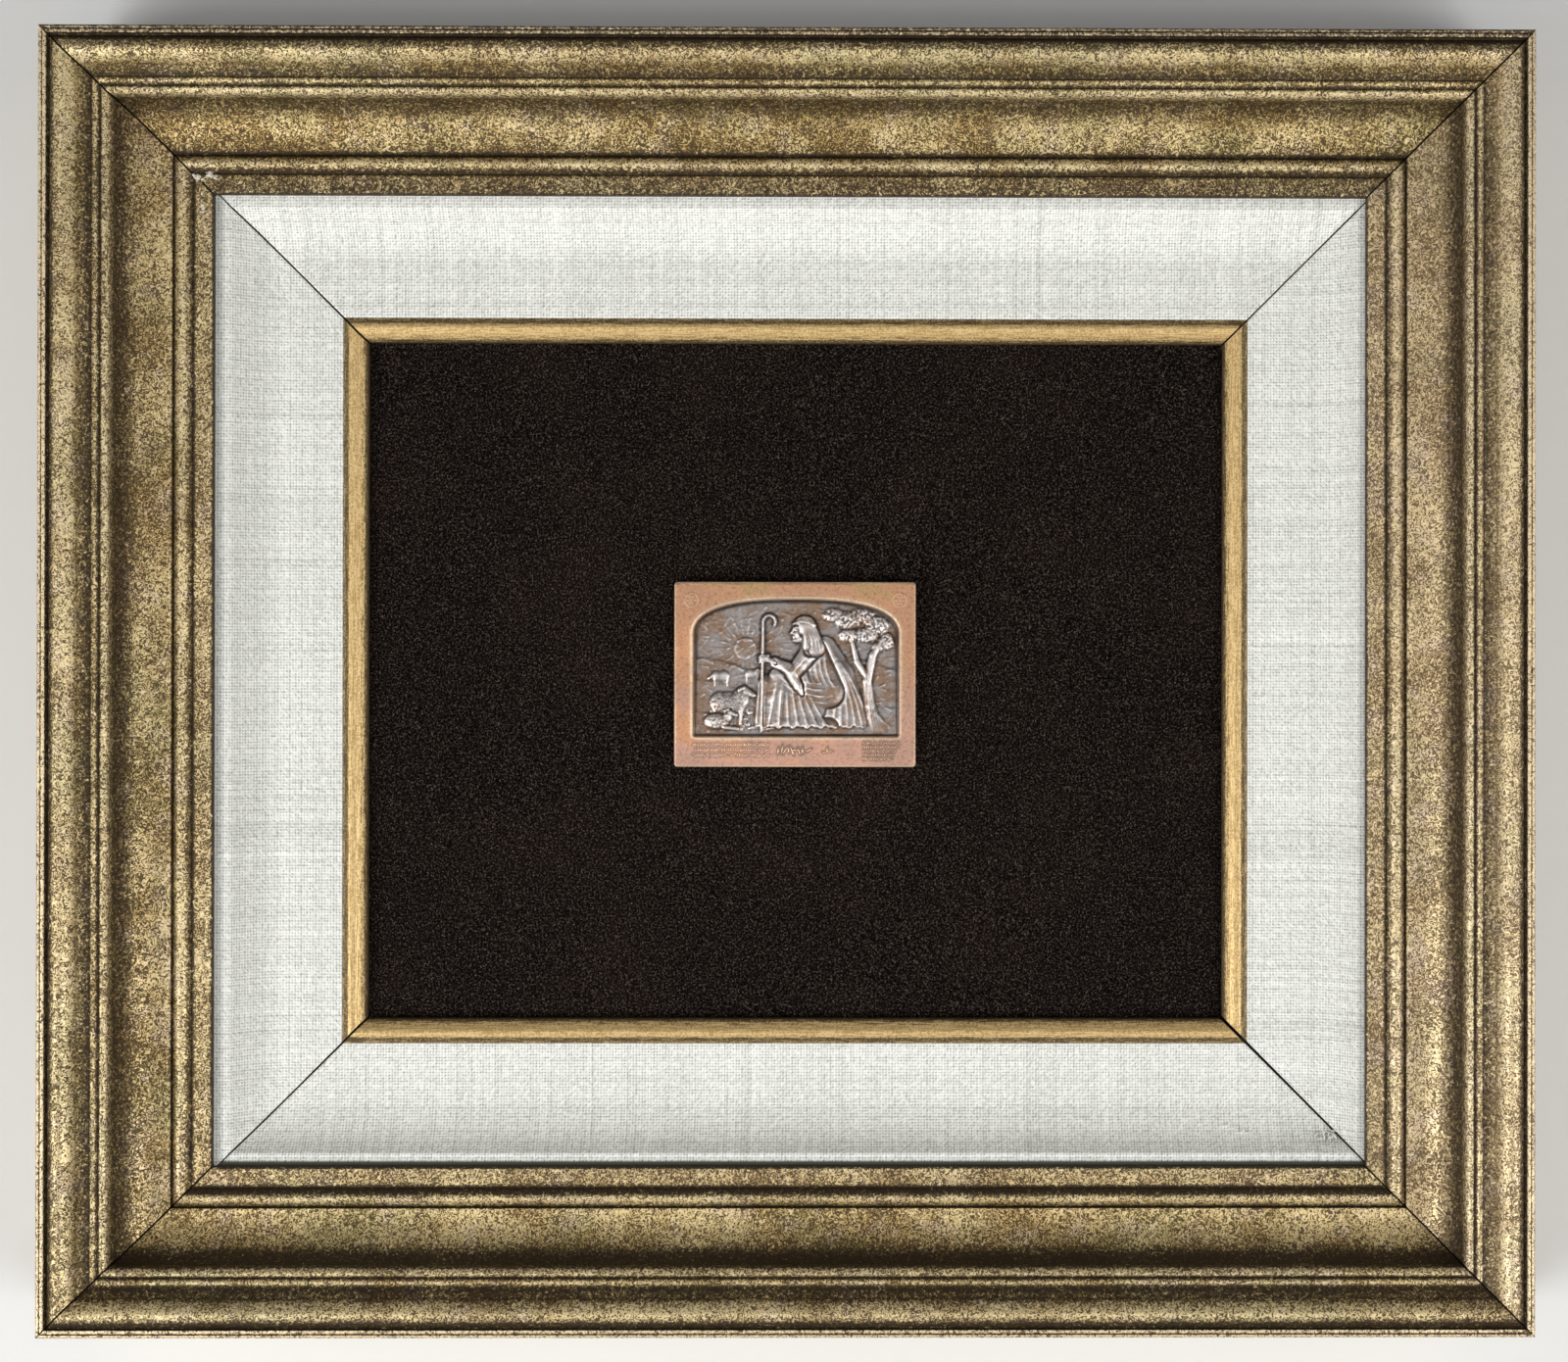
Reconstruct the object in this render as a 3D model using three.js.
// A small bronze relief plaque on dark velvet, in a linen-covered liner with a gilt lip, in a deep
// mitred wooden frame. Millimetres, +Z up, +X right. The front faces -Y and the back lies at Y = 0.
// The origin is on the back of the top rail, where the frame meets the wall.
import * as THREE from "three";

// Outer frame. A section is drawn in inset (from the frame's outer edge) and height above the wall.
const FRAME_WIDTH = 406.4;
const FRAME_HEIGHT = 355.6;
const FRAME_DEPTH = 40;
const FRAME_MITRE_GAP = 0.36;
const EDGE_BAND = 2.2; // flat band along the outer edge
const EDGE_ROUND = 0.5;
const EDGE_LINE = 0.35; // line cut along the middle of the band
const ROLL_START = 2.7;
const ROLL_END = 10.2;
const ROLL_RISE = 0.7;
const QUIRK_DEPTH = 1.5;
const ROLL_FOOT_DROP = 3.1;
const BEADS_START = 12.8;
const BEAD_WIDTH = 2.3;
const BEAD_RISE = 0.75;
const BEADS_DROP = 5.6; // feet of the twin beads, below the outer edge
const BEAD_STEP = 0.7; // each bead sits this much lower than the one outside it
const SCOOP_START = 17.6;
const SCOOP_END = 31;
const SCOOP_TOP_DROP = 8;
const SCOOP_DROP = 19.5;
const SIGHT_BEAD_END = 36.5;
const SIGHT_BEAD_CREST = 1.9;
const SIGHT_DROP = 20.5; // flat band next to the opening
const SIGHT_INSET = 42.2;
const SIGHT_THICK = 2.5;
const FRAME_RABBET_INSET = 36.5;

// Liner, in the frame's rabbet. Insets are still counted from the frame's outer edge.
const LINER_INSET = 38.1;
const LINER_SHIFT = 1.1; // it lies a little to the right in the rabbet
const LINER_BACK = 0.4;
const LINEN_THICK = 0.5;
const FIT_GAP = 0.3;
const LEDGE_END = 45.4;
const COVE_END = 58;
const COVE_PULL = 52.4; // where the cove's two end slopes meet
const LINER_FLAT_HEIGHT = 9;
const LIP_START = 75.3;
const LIP_FACET = 1.7;
const LIP_RISE = 1.1;
const LIP_END = 82;
const LIP_SIDE_HEIGHT = 7.5;
const LIP_UNDERSIDE = 5.5;
const LINER_RABBET_INSET = 74.6;
const LINER_OUTER_MITRE_GAP = 0.32;
const LIP_MITRE_GAPS = { topLeft: 0.55, topRight: 0.45, bottomRight: 0.9, bottomLeft: 0.6 };

// Board and velvet.
const BOARD_WIDTH = 254;
const BOARD_HEIGHT = 203.2;
const BOARD_THICK = 3.2;
const VELVET_THICK = 1;
const VELVET_FACE = LIP_UNDERSIDE - FIT_GAP;

// Plaque.
const PLAQUE_WIDTH = 68.5;
const PLAQUE_HEIGHT = 52.5;
const PLAQUE_THICK = 3.7;
const PLAQUE_X = -0.2; // centre, from the frame's centre
const PLAQUE_Z = 1.8;
const PLAQUE_CORNER = 1;
const FIELD_WIDTH = 56.8;
const FIELD_HEIGHT = 37.4;
const FIELD_X = 0.3; // centre of the sunk field, from the plaque's centre
const FIELD_FOOT = 9.4; // height of the bottom border
const ARCH_RISE = 9;
const ARCH_FLATNESS = 2.7;
const ARCH_ROUND = 2.2;
const FIELD_DEPTH = 1.9;
const RIM_WIDTH = 1.5;
const RIM_RISE = 0.12;
const FIELD_COLUMNS = 60;
const FIELD_ROWS = 40;

// Relief.
const RELIEF_SHARE = 0.92; // of the modelled heights
const RELIEF_SCALE = 0.93; // of the modelled widths
const HEAD = [1.6, 31.4];
const HEM_HEIGHT = 1.7;
const CROOK_RADIUS = 1.9;
const CROOK_TURN = 3.74;
const CROOK_STEPS = 12;
const PLEAT_STEPS = 10;

const HALF_TURN = Math.PI;
const MOUNT_INSET = FRAME_RABBET_INSET / 2;
const FRAME_CENTRE_Z = MOUNT_INSET - FRAME_HEIGHT / 2;

const SIDES = [
  { name: "top", turn: 0, start: "topLeft", end: "topRight" },
  { name: "right", turn: HALF_TURN / 2, start: "topRight", end: "bottomRight" },
  { name: "bottom", turn: HALF_TURN, start: "bottomRight", end: "bottomLeft" },
  { name: "left", turn: -HALF_TURN / 2, start: "bottomLeft", end: "topLeft" },
];

const FINISH = {
  antiqueGold: { color: 0x8f7848, roughness: 0.5, metalness: 0.35 },
  giltLip: { color: 0xb8935a, roughness: 0.4, metalness: 0.5 },
  linen: { color: 0xdcdcd2, roughness: 0.95, metalness: 0 },
  board: { color: 0x8a6b4a, roughness: 0.9, metalness: 0 },
  velvet: { color: 0x2a1c16, roughness: 1, metalness: 0 },
  bronze: { color: 0xb08560, roughness: 0.4, metalness: 0.85 },
};

function piece(name, geometry, finish) {
  const mesh = new THREE.Mesh(geometry, new THREE.MeshStandardMaterial(finish));
  mesh.name = name;
  return mesh;
}

// A low convex arc between two feet, in inset and height, as points after the first foot.
function arcPoints(from, to, rise, count) {
  return Array.from({ length: count }, (_, i) => {
    const t = (i + 1) / count;
    const inset = from[0] + (to[0] - from[0]) * t;
    return [inset, from[1] + (to[1] - from[1]) * t + rise * Math.sin(HALF_TURN * t) ** 0.75];
  });
}

// The frame's moulded face, from its outer edge to the sight edge.
function frameFace() {
  const top = FRAME_DEPTH;
  const quirk = [ROLL_START, top - QUIRK_DEPTH];
  const rollFoot = [ROLL_END, top - ROLL_FOOT_DROP];
  const beadFeet = [0, 1, 2].map((i) => [
    BEADS_START + BEAD_WIDTH * i,
    top - BEADS_DROP - BEAD_STEP * i,
  ]);
  const sightFoot = [SIGHT_BEAD_END, top - SIGHT_DROP - 0.4];
  const scoopLip = [SCOOP_END, top - SCOOP_DROP];
  const beadFoot = [SCOOP_END + 0.3, top - SCOOP_DROP - 1.1];
  const middle = EDGE_BAND / 2;
  const scoop = Array.from({ length: 10 }, (_, i) => {
    const angle = ((i + 1) / 10) * (HALF_TURN / 2);
    return [
      SCOOP_END - (SCOOP_END - SCOOP_START) * Math.cos(angle),
      top - SCOOP_TOP_DROP - (SCOOP_DROP - SCOOP_TOP_DROP) * Math.sin(angle),
    ];
  });
  return [
    [0, top - EDGE_ROUND],
    [EDGE_ROUND, top],
    [middle - EDGE_LINE / 2, top],
    [middle, top - EDGE_LINE],
    [middle + EDGE_LINE / 2, top],
    [EDGE_BAND, top],
    [EDGE_BAND + 0.1, top - QUIRK_DEPTH],
    quirk,
    ...arcPoints(quirk, rollFoot, ROLL_RISE + (QUIRK_DEPTH + ROLL_FOOT_DROP) / 2, 9),
    [BEADS_START - 0.5, beadFeet[0][1] + 0.3],
    beadFeet[0],
    ...arcPoints(beadFeet[0], beadFeet[1], BEAD_RISE, 4),
    ...arcPoints(beadFeet[1], beadFeet[2], BEAD_RISE, 4),
    [SCOOP_START, top - SCOOP_TOP_DROP],
    ...scoop.slice(0, -1),
    scoopLip,
    beadFoot,
    ...arcPoints(beadFoot, sightFoot, SIGHT_BEAD_CREST, 6),
    [SIGHT_BEAD_END + 0.3, top - SIGHT_DROP],
    [SIGHT_INSET - 0.5, top - SIGHT_DROP],
    [SIGHT_INSET, top - SIGHT_DROP - 0.4],
  ];
}

function frameSection() {
  const underSight = FRAME_DEPTH - SIGHT_DROP - SIGHT_THICK;
  return [
    ...frameFace(),
    [SIGHT_INSET, underSight],
    [FRAME_RABBET_INSET, underSight],
    [FRAME_RABBET_INSET, 0],
    [0, 0],
  ];
}

// The linen's visible face: a narrow ledge, a cove, and a flat running up to the gilt lip.
function linenFace() {
  const ledgeHeight = FRAME_DEPTH - SIGHT_DROP - SIGHT_THICK - FIT_GAP;
  const cove = new THREE.QuadraticBezierCurve(
    new THREE.Vector2(LEDGE_END, ledgeHeight),
    new THREE.Vector2(COVE_PULL, LINER_FLAT_HEIGHT + 0.5),
    new THREE.Vector2(COVE_END, LINER_FLAT_HEIGHT),
  );
  return [
    [LINER_INSET, ledgeHeight],
    ...cove.getPoints(9).map((p) => [p.x, p.y]),
    [LIP_START - FIT_GAP, LINER_FLAT_HEIGHT],
  ];
}

// A face curve moved straight into the material by the same distance all along.
function sunk(face, distance) {
  return face.map(([inset, height], i) => {
    const before = face[Math.max(i - 1, 0)];
    const after = face[Math.min(i + 1, face.length - 1)];
    const run = [after[0] - before[0], after[1] - before[1]];
    const length = Math.hypot(...run);
    const across = i === 0 || i === face.length - 1 ? 0 : run[1] / length;
    return [inset + across * distance, height - (run[0] / length) * distance];
  });
}

function linenSection() {
  const face = linenFace();
  return [...face, ...sunk(face, LINEN_THICK).reverse()];
}

function linerSection() {
  const bed = sunk(linenFace(), LINEN_THICK + FIT_GAP);
  const facetTop = [LIP_START + LIP_FACET, LINER_FLAT_HEIGHT + LIP_RISE];
  const lipShoulder = [LIP_END, LIP_SIDE_HEIGHT];
  return [
    ...bed.slice(0, -1),
    [LIP_START, bed.at(-1)[1]],
    [LIP_START, LINER_FLAT_HEIGHT + 0.1],
    facetTop,
    ...arcPoints(facetTop, lipShoulder, 1.15, 7),
    [LIP_END, LIP_UNDERSIDE],
    [LINER_RABBET_INSET, LIP_UNDERSIDE],
    [LINER_RABBET_INSET, LINER_BACK],
    [LINER_INSET, LINER_BACK],
  ];
}

// One rail: a section swept along a side and cut at both ends along the mitres. mitreGap gives the
// open joint at a corner for each inset. The rail lies at the top; a turn about Y places it.
function railGeometry(section, side, mitreGap) {
  const across = side.turn % HALF_TURN === 0;
  const halfLength = (across ? FRAME_WIDTH : FRAME_HEIGHT) / 2;
  const halfSpan = (across ? FRAME_HEIGHT : FRAME_WIDTH) / 2;
  const shape = new THREE.Shape(section.map(([inset, height]) => new THREE.Vector2(inset, -height)));
  const geometry = new THREE.ExtrudeGeometry(shape, { depth: 1, steps: 1, bevelEnabled: false });
  const place = geometry.attributes.position;
  for (let i = 0; i < place.count; i += 1) {
    const inset = place.getX(i);
    const atEnd = place.getZ(i) > 0.5;
    const corner = atEnd ? side.end : side.start;
    const reach = halfLength - inset - mitreGap(corner, inset) / Math.SQRT2;
    place.setXYZ(i, atEnd ? reach : -reach, place.getY(i), halfSpan - inset);
  }
  geometry.computeVertexNormals();
  return geometry;
}

function linerMitreGap(corner, inset) {
  const t = (inset - LINER_INSET) / (LIP_END - LINER_INSET);
  return THREE.MathUtils.lerp(LINER_OUTER_MITRE_GAP, LIP_MITRE_GAPS[corner], t);
}

function rails(prefix, section, mitreGap, finish) {
  const group = new THREE.Group();
  for (const side of SIDES) {
    const rail = piece(`${prefix}_${side.name}`, railGeometry(section, side, mitreGap), finish);
    rail.rotation.y = side.turn;
    group.add(rail);
  }
  return group;
}

function slab(name, thick, frontHeight, finish) {
  const slabPiece = piece(name, new THREE.BoxGeometry(BOARD_WIDTH, thick, BOARD_HEIGHT), finish);
  slabPiece.position.y = -frontHeight + thick / 2;
  return slabPiece;
}

// ---- The relief: a shepherd resting under an olive tree, with sheep and hills. ----
// Forms stand in the sunk field: x from its middle, z from its foot, heights above its floor.

// A rounded form that is widest where it meets the floor.
function mass(x, z, radiusX, radiusZ, height, tilt = 0) {
  const [c, s] = [Math.cos(tilt), Math.sin(tilt)];
  return (px, pz) => {
    const [dx, dz] = [px - x, pz - z];
    const [a, b] = [(dx * c + dz * s) / radiusX, (dz * c - dx * s) / radiusZ];
    return height * Math.sqrt(Math.max(0, 1 - a * a - b * b));
  };
}

// The nearest place on a straight run: how far along it (0 to 1), and the step away from it.
function nearest(from, to, px, pz) {
  const [runX, runZ] = [to[0] - from[0], to[1] - from[1]];
  const [dx, dz] = [px - from[0], pz - from[1]];
  const t = THREE.MathUtils.clamp((dx * runX + dz * runZ) / (runX ** 2 + runZ ** 2), 0, 1);
  return { t, dx: dx - runX * t, dz: dz - runZ * t, runX, runZ };
}

// A tapered limb through two or more stations, each given as [x, z, radius, height].
function limb(...stations) {
  const pairs = stations.slice(1).map((to, i) => [stations[i], to]);
  return (px, pz) =>
    pairs.reduce((top, [from, to]) => {
      const { t, dx, dz } = nearest(from, to, px, pz);
      const off = Math.hypot(dx, dz) / THREE.MathUtils.lerp(from[2], to[2], t);
      const height = THREE.MathUtils.lerp(from[3], to[3], t);
      return Math.max(top, height * Math.sqrt(Math.max(0, 1 - off * off)));
    }, 0);
}

// A pleat of cloth along a bent line: steep on its left side, gentle on its right.
function pleat(from, pull, to, steep, gentle, height) {
  const line = new THREE.QuadraticBezierCurve(
    new THREE.Vector2(...from),
    new THREE.Vector2(...pull),
    new THREE.Vector2(...to),
  ).getPoints(PLEAT_STEPS);
  return (px, pz) => {
    let [closest, side, along] = [Infinity, 0, 0];
    for (let i = 0; i < PLEAT_STEPS; i += 1) {
      const { t, dx, dz, runX, runZ } = nearest(line[i].toArray(), line[i + 1].toArray(), px, pz);
      const distance = Math.hypot(dx, dz);
      if (distance < closest) {
        closest = distance;
        side = runX * dz - runZ * dx;
        along = (i + t) / PLEAT_STEPS;
      }
    }
    const fall = side > 0 ? (closest / steep) ** 1.5 : (closest / gentle) ** 1.2;
    return height * Math.exp(-fall) * Math.min(1, 0.15 + 5 * Math.min(along, 1 - along));
  };
}

// Pleats side by side between two starts and two ends, all bent the same way.
function fan(starts, ends, bend, count, steep, gentle, height) {
  const between = (pair, t) => [0, 1].map((k) => THREE.MathUtils.lerp(pair[0][k], pair[1][k], t));
  return Array.from({ length: count }, (_, i) => {
    const [from, to] = [between(starts, i / (count - 1)), between(ends, i / (count - 1))];
    const pull = [0, 1].map((k) => (from[k] + to[k]) / 2 + bend[k]);
    return pleat(from, pull, to, steep, gentle, height);
  });
}

// Ground that ends upwards in a soft line and swells towards the foot of the field.
function ground(crest, height, swell) {
  return (px, pz) => {
    const below = crest(px) - pz;
    return below <= 0 ? 0 : height * Math.min(1, below / 0.8) + swell * below;
  };
}

// Forms that run into each other with a soft fillet.
function joined(forms, fillet = 0.4) {
  return (px, pz) =>
    forms.reduce((height, form) => {
      const next = form(px, pz);
      const near = Math.max(fillet - Math.abs(height - next), 0) / fillet;
      const shared = Math.min(1, Math.min(height, next) / fillet);
      return Math.max(height, next) + near * near * (fillet / 4) * shared;
    }, 0);
}

// A garment with pleats raised on it, dying out towards its edges.
function draped(garment, pleats) {
  return (px, pz) => {
    const height = garment(px, pz);
    const ridge = pleats.reduce((top, form) => Math.max(top, form(px, pz)), 0);
    return height + ridge * THREE.MathUtils.smoothstep(height, 0.25, 0.6);
  };
}

// Layers laid on each other in order, each one hiding what is under it.
function layered(layers) {
  return (px, pz) =>
    layers.reduce((height, layer) => {
      const own = layer(px, pz);
      const cover = THREE.MathUtils.smoothstep(own, 0.1, 0.5);
      return THREE.MathUtils.lerp(height, own, cover);
    }, 0);
}

function landscape() {
  return joined([
    mass(-15.5, 26, 3.4, 3.4, 0.3), // sun
    ground((x) => 21 + 2.4 * Math.sin(x / 7 - 0.6), 0.2, 0.004),
    ground((x) => 15.5 + 1.6 * Math.sin(x / 5 + 1.2), 0.3, 0.01),
    ground((x) => 8 + 1.1 * Math.sin(x / 8) + 0.04 * x, 0.45, 0.035),
  ]);
}

function oliveTree() {
  const trunk = [
    limb(
      [24.8, 1.5, 3, 1],
      [22.4, 8.5, 1.9, 1.05],
      [21.6, 16, 1.6, 1],
      [23.4, 24, 1.3, 0.95],
      [26.5, 29, 0.7, 0.8],
    ),
    limb([22, 17, 1.3, 1], [18.5, 22, 1, 0.9], [17, 28, 0.6, 0.8]),
    limb([28.3, 2.2, 0.8, 0.8], [24, 6, 1.2, 0.9]), // roots
    limb([19.5, 1.6, 0.7, 0.8], [22.6, 6.5, 1.3, 0.95]),
  ];
  const crown = [
    [11.4, 36.2, 3.2, 2],
    [15.6, 34.6, 3.8, 2.6],
    [20.2, 36, 4, 2.2],
    [24.6, 33, 3.6, 2.8],
    [27.4, 28.2, 2.4, 2.6],
    [21.2, 30.2, 3.4, 2.2],
    [16, 30, 3, 2],
    [25, 26.4, 2, 1.5],
  ].map(([x, z, rx, rz], i) => mass(x, z, rx, rz, 0.8 + 0.12 * Math.sin(i * 2.4)));
  return joined([...trunk, ...crown]);
}

// A sheep about its body's middle; facing is 1 to the right and -1 to the left.
function sheep(x, z, size, facing, headLift, height) {
  const at = (along, up) => [x + facing * along * size, z + up * size];
  const leg = (along, share) =>
    limb(
      [...at(along, -1.6), 1.15 * size, height * share],
      [...at(along + 0.1, -3.9), 0.62 * size, height * share],
      [...at(along, -5.8), 0.55 * size, height * share],
    );
  return [
    leg(-3.9, 0.8),
    leg(-2.4, 0.55),
    leg(2, 0.55),
    leg(3.5, 0.8),
    mass(x, z, 5.5 * size, 3.5 * size, height),
    mass(...at(-2.6, 0.2), 3.2 * size, 3.3 * size, height * 0.98),
    mass(...at(3.4, 0.9 + headLift * 0.35), 2.9 * size, 3.1 * size, height),
    limb(
      [...at(4.9, 2.1 + headLift * 0.9), 1.5 * size, height * 1.02],
      [...at(7.2, 0.9 + headLift), 0.85 * size, height * 0.95],
    ),
    limb(
      [...at(4.6, 3.1 + headLift), 0.5 * size, height * 1.15],
      [...at(3.2, 2.4 + headLift), 0.7 * size, height * 1.2],
    ),
  ];
}

function farSheep() {
  return joined([
    ...sheep(-23, 17.6, 0.5, -1, -2.2, 0.75),
    ...sheep(-13.4, 18.2, 0.42, 1, 0.6, 0.65),
  ]);
}

function nearSheep() {
  return joined(sheep(-20.6, 9.2, 1.05, 1, 1.6, 1.25));
}

function lyingLamb() {
  return joined([
    mass(-24.2, 3.9, 4.3, 2.7, 1.55),
    mass(-20.9, 5.3, 1.9, 1.9, 1.5),
    limb([-20.2, 6.6, 1.25, 1.55], [-18.2, 5.7, 0.7, 1.45]), // head
    limb([-22, 2, 0.8, 1.4], [-17.8, 1.5, 0.55, 1.3]), // folded leg
  ]);
}

// A robe ends in a wavy hem a little above the foot of the field.
function hemmed(garment) {
  return (px, pz) => {
    const hem = HEM_HEIGHT + 0.3 * Math.sin(px * 1.5) + 0.2 * Math.sin(px * 2.9 + 1);
    return garment(px, pz) * THREE.MathUtils.clamp((pz - hem) / 0.3, 0, 1);
  };
}

function cloak() {
  const seat = mass(12, 5, 9.5, 6, 0.95);
  const back = limb(
    [8.8, 26.2, 3.7, 1.15],
    [13, 18, 4.8, 1.15],
    [15.2, 9, 5.6, 1.05],
    [17, 3, 5.2, 0.9],
  );
  const pleats = fan([[9.6, 28], [12, 24]], [[11, 0.6], [22.5, 1]], [3.2, -0.5], 6, 0.35, 1.3, 0.34);
  return hemmed(draped(joined([seat, back]), pleats));
}

function robe() {
  const knee = [-5.2, 17.2, 3.3, 1.7];
  const farLeg = limb([3, 13.6, 3.4, 1.1], [-9.2, 15.2, 2.7, 1.15], [-10.4, 1, 2.5, 1]);
  const skirt = [mass(1.2, 8.4, 8.4, 8.6, 1.15), limb([-6, 3, 2.6, 1.15], [10, 2, 3.2, 1.05])];
  const nearLeg = [
    limb([10, 12.6, 5, 1.4], [2, 15.4, 4.2, 1.6], knee),
    limb(knee, [-6.4, 11, 3, 1.5], [-6.6, 3, 2.9, 1.3]),
  ];
  const trunk = limb([5.2, 25.2, 4.3, 1.45], [7.6, 19, 4.6, 1.4], [9.8, 13.4, 5, 1.35]);
  const pleats = [
    ...fan([[3, 24.5], [8.6, 25.5]], [[5, 14.2], [12, 14]], [-1.8, -2], 5, 0.3, 1, 0.3),
    ...fan([[-3.6, 18.6], [-5.6, 14.2]], [[8.2, 15.6], [9.6, 9.4]], [2, -2.5], 4, 0.3, 1, 0.3),
    ...fan([[-5.8, 16], [3.4, 13.2]], [[-8.6, 1.2], [10.6, 0.6]], [-0.3, -0.5], 7, 0.3, 1.15, 0.36),
  ];
  return hemmed(draped(joined([farLeg, ...skirt, ...nearLeg, trunk], 0.5), pleats));
}

function feet() {
  return joined([
    limb([-7.2, 2.2, 1.2, 1.2], [-10.2, 1.4, 0.85, 1]),
    limb([-11.8, 2.3, 1, 1], [-14.2, 1.7, 0.7, 0.85]),
  ]);
}

function staff() {
  const [x, top, radius, height] = [-10.1, 34.2, 0.6, 1.5];
  const crook = Array.from({ length: CROOK_STEPS + 1 }, (_, i) => {
    const angle = HALF_TURN - (i / CROOK_STEPS) * CROOK_TURN;
    const bend = [x + CROOK_RADIUS * (1 + Math.cos(angle)), top + CROOK_RADIUS * Math.sin(angle)];
    return [...bend, radius, height];
  });
  return limb([x - 0.5, 0.8, radius, height], ...crook);
}

function arm() {
  const elbow = [-0.6, 18.8, 2.6, 1.85];
  const sleeve = [
    limb([4.6, 25.2, 3.1, 1.7], [1.2, 21, 2.7, 1.8], elbow),
    limb(elbow, [-4.6, 20.8, 1.8, 1.8], [-6.6, 21.8, 1.6, 1.75]),
    limb([-1.4, 18.2, 2.4, 1.75], [0.6, 14.6, 1.9, 1.7], [1.8, 12.2, 0.9, 1.6]),
  ];
  const pleats = [
    ...fan([[5.6, 26.2], [3.6, 27]], [[-1.8, 17.4], [-2.6, 20.4]], [-1.6, -1], 4, 0.25, 0.8, 0.26),
    ...fan([[-0.8, 19.4], [-4.6, 20.6]], [[1.8, 12.4], [-0.4, 15.6]], [1.6, -0.6], 4, 0.25, 0.7, 0.26),
  ];
  return draped(joined(sleeve), pleats);
}

function hand() {
  return joined([
    limb([-6.6, 21.7, 1, 1.5], [-8.9, 22.8, 1.1, 1.7]),
    mass(-10.2, 22.9, 1.3, 1.5, 1.85),
  ]);
}

// The head in profile, looking left.
function head() {
  const [x, z] = HEAD;
  return joined([
    limb([x + 1, z - 2.4, 1.7, 1.15], [x + 2.6, z - 5.8, 2.4, 1.3]), // neck
    mass(x + 0.7, z + 0.7, 2.8, 2.9, 1.45),
    mass(x - 0.9, z - 0.9, 1.75, 2.7, 1.4, 0.1),
    limb([x + 1.2, z - 2, 1.3, 1.25], [x - 1.4, z - 2.9, 0.75, 1.3]), // jaw
    limb([x - 2.3, z + 0.75, 0.4, 1.35], [x - 3, z - 0.7, 0.5, 1.4]), // nose
  ]);
}

function headcloth() {
  const [x, z] = HEAD;
  const cloth = joined([
    mass(x + 0.9, z + 1.5, 3.6, 3.3, 1.75, 0.2),
    limb([x + 1.9, z + 1, 2.9, 1.75], [x + 3.4, z - 2.4, 2.6, 1.6], [x + 4.6, z - 5.4, 3, 1.55]),
  ]);
  const band = limb([x - 2.3, z + 2.2, 0.5, 1.85], [x + 1, z + 2.9, 0.55, 2.1], [x + 4.2, z + 1.7, 0.5, 1.8]);
  const pleats = fan(
    [[x - 1.6, z + 2.6], [x + 0.6, z + 4.6]],
    [[x + 1.2, z - 5.4], [x + 7, z - 6.2]],
    [2.4, 0.6],
    6,
    0.25,
    0.8,
    0.28,
  );
  const whole = joined([draped(cloth, pleats), band], 0.2);
  return (px, pz) => {
    const beforeFace = pz < z + 1.9 ? THREE.MathUtils.smoothstep(x - px, 0.75, 0.95) : 0;
    return whole(px, pz) * (1 - beforeFace);
  };
}

// The relief's height over the field's floor, evened out over the width of a grid cell.
function reliefHeight(cell) {
  const scenery = joined([landscape(), oliveTree(), farSheep()], 0.1);
  const animals = [nearSheep(), lyingLamb()];
  const shepherd = [cloak(), feet(), robe(), staff(), arm(), hand(), head(), headcloth()];
  const exact = layered([scenery, ...animals, ...shepherd]);
  const steps = [-1, 0, 1].map((step) => (step * cell) / (3 * RELIEF_SCALE));
  return (x, z) => {
    const [fullX, fullZ] = [x / RELIEF_SCALE, z / RELIEF_SCALE];
    const near = steps.flatMap((dx) => steps.map((dz) => exact(fullX + dx, fullZ + dz)));
    return RELIEF_SHARE * (near.reduce((sum, height) => sum + height, 0) / near.length);
  };
}

// The sunk field's upper edge, a flattened arch, over x from the field's middle.
function archHeight(x) {
  const across = Math.min(1, Math.abs(x) / (FIELD_WIDTH / 2));
  const rise = (1 - across ** ARCH_FLATNESS) ** (1 / ARCH_ROUND);
  return FIELD_HEIGHT - ARCH_RISE + ARCH_RISE * rise;
}

// The field's edge as steps [i, j] of its grid, anticlockwise as the front is seen.
function fieldWalk() {
  const [columns, rows] = [FIELD_COLUMNS, FIELD_ROWS];
  const run = (count, step) => Array.from({ length: count }, (_, n) => step(n));
  return [
    ...run(columns, (n) => [n, 0]),
    ...run(rows, (n) => [columns, n]),
    ...run(columns, (n) => [columns - n, rows]),
    ...run(rows, (n) => [0, rows - n]),
  ];
}

// A point of the plaque's outline, or of one inside it, beside a step of the field's edge.
function outlinePoint([i, j], inset) {
  const [halfWidth, halfHeight] = [PLAQUE_WIDTH / 2 - inset, PLAQUE_HEIGHT / 2 - inset];
  const point = new THREE.Vector2(
    halfWidth * ((2 * i) / FIELD_COLUMNS - 1),
    halfHeight * ((2 * j) / FIELD_ROWS - 1),
  );
  const centre = new THREE.Vector2(
    Math.sign(point.x) * (PLAQUE_WIDTH / 2 - PLAQUE_CORNER),
    Math.sign(point.y) * (PLAQUE_HEIGHT / 2 - PLAQUE_CORNER),
  );
  const past = Math.abs(point.x) > Math.abs(centre.x) && Math.abs(point.y) > Math.abs(centre.y);
  if (past) point.sub(centre).setLength(Math.max(PLAQUE_CORNER - inset, 0.1)).add(centre);
  return point;
}

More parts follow.
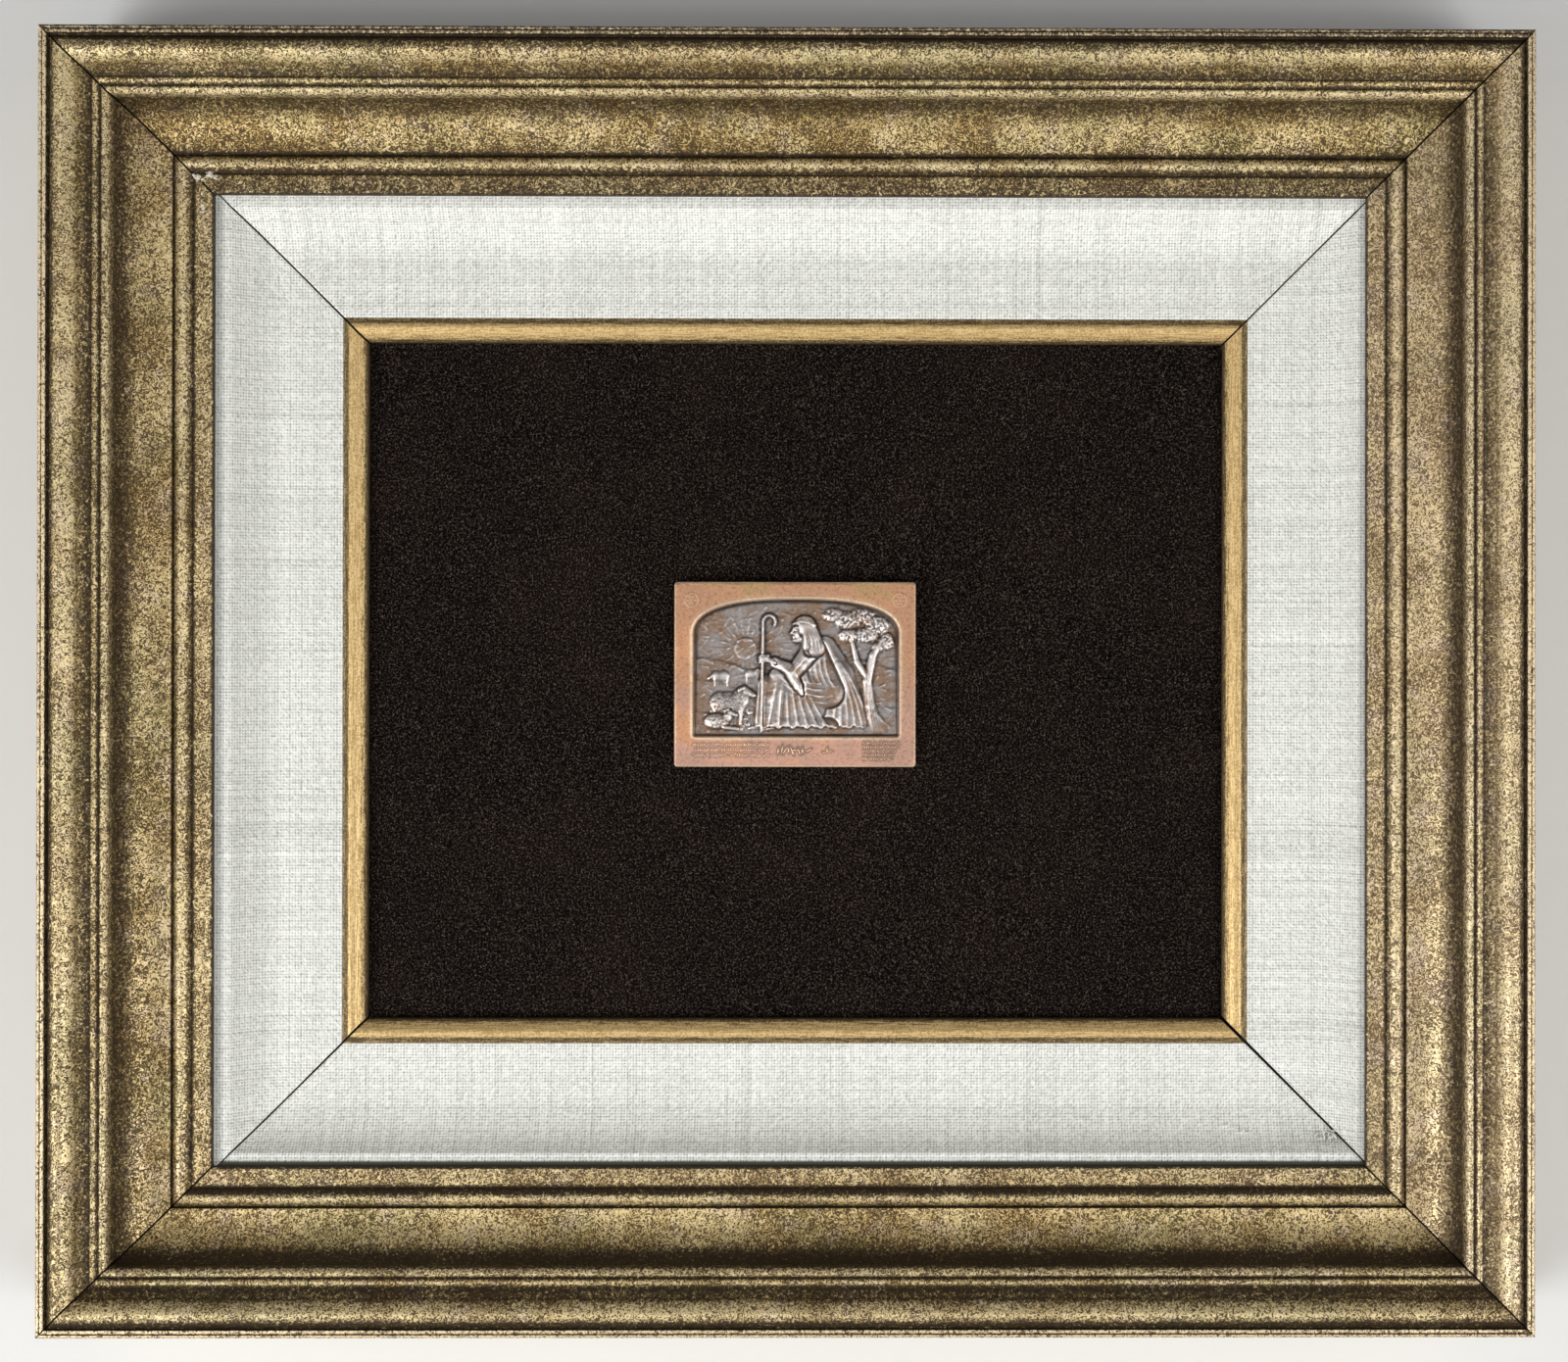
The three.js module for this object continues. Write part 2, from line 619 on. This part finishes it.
function plaqueGeometry() {
  const back = VELVET_FACE + FIT_GAP;
  const face = back + PLAQUE_THICK;
  const relief = reliefHeight(FIELD_WIDTH / FIELD_COLUMNS);
  const positions = [];
  const index = [];
  const addPoint = (x, z, height) => positions.push(x, -height, z) / 3 - 1;
  const footZ = FIELD_FOOT - PLAQUE_HEIGHT / 2;
  const grid = Array.from({ length: FIELD_COLUMNS + 1 }, (_, i) => {
    const x = FIELD_WIDTH * (i / FIELD_COLUMNS - 0.5);
    return Array.from({ length: FIELD_ROWS + 1 }, (__, j) => {
      const z = (archHeight(x) * j) / FIELD_ROWS;
      return addPoint(x + FIELD_X, z + footZ, face - FIELD_DEPTH + relief(x, z));
    });
  });
  for (let i = 0; i < FIELD_COLUMNS; i += 1) {
    for (let j = 0; j < FIELD_ROWS; j += 1) {
      const [a, b, c, d] = [grid[i][j], grid[i + 1][j], grid[i + 1][j + 1], grid[i][j + 1]];
      index.push(a, b, c, a, c, d);
    }
  }
  const walk = fieldWalk();
  let ring = walk.map(([i, j]) => grid[i][j]);
  const addRing = (pointAt) => {
    const next = walk.map((step) => addPoint(...pointAt(step)));
    walk.forEach((_, n) => {
      const m = (n + 1) % walk.length;
      index.push(next[n], next[m], ring[m], next[n], ring[m], ring[n]);
    });
    ring = next;
  };
  const archRing = (offset, height) =>
    addRing(([i, j]) => {
      const x = FIELD_WIDTH * (i / FIELD_COLUMNS - 0.5);
      const z = (archHeight(x) * j) / FIELD_ROWS - FIELD_HEIGHT / 2;
      const [wider, taller] = [1 + (2 * offset) / FIELD_WIDTH, 1 + (2 * offset) / FIELD_HEIGHT];
      return [x * wider + FIELD_X, z * taller + FIELD_HEIGHT / 2 + footZ, height];
    });
  const outlineRing = (inset, height) =>
    addRing((step) => {
      const point = outlinePoint(step, inset);
      return [point.x, point.y, height];
    });
  archRing(RIM_WIDTH * 0.5, face - 0.4);
  archRing(RIM_WIDTH * 0.75, face + RIM_RISE);
  archRing(RIM_WIDTH, face);
  outlineRing(0.8, face);
  outlineRing(0.2, face - 0.2);
  outlineRing(0, face - 0.8);
  outlineRing(0, back);
  const hub = addPoint(0, 0, back);
  walk.forEach((_, n) => index.push(hub, ring[(n + 1) % walk.length], ring[n]));
  const geometry = new THREE.BufferGeometry();
  geometry.setAttribute("position", new THREE.Float32BufferAttribute(positions, 3));
  geometry.setIndex(index);
  geometry.computeVertexNormals();
  return geometry;
}

function bronzePlaque() {
  const plaque = piece("bronze_plaque", plaqueGeometry(), FINISH.bronze);
  plaque.position.set(PLAQUE_X, 0, PLAQUE_Z);
  return plaque;
}

function framedPlaque() {
  const framed = new THREE.Group();
  const linerSet = new THREE.Group();
  linerSet.position.x = LINER_SHIFT;
  linerSet.add(
    rails("liner_rail", linerSection(), linerMitreGap, FINISH.giltLip),
    rails("linen", linenSection(), linerMitreGap, FINISH.linen),
    slab("velvet_ground", VELVET_THICK, VELVET_FACE, FINISH.velvet),
    slab("mounting_board", BOARD_THICK, VELVET_FACE - VELVET_THICK - FIT_GAP, FINISH.board),
    bronzePlaque(),
  );
  framed.add(
    rails("frame_rail", frameSection(), () => FRAME_MITRE_GAP, FINISH.antiqueGold),
    linerSet,
  );
  framed.position.z = FRAME_CENTRE_Z;
  return framed;
}

export default framedPlaque();
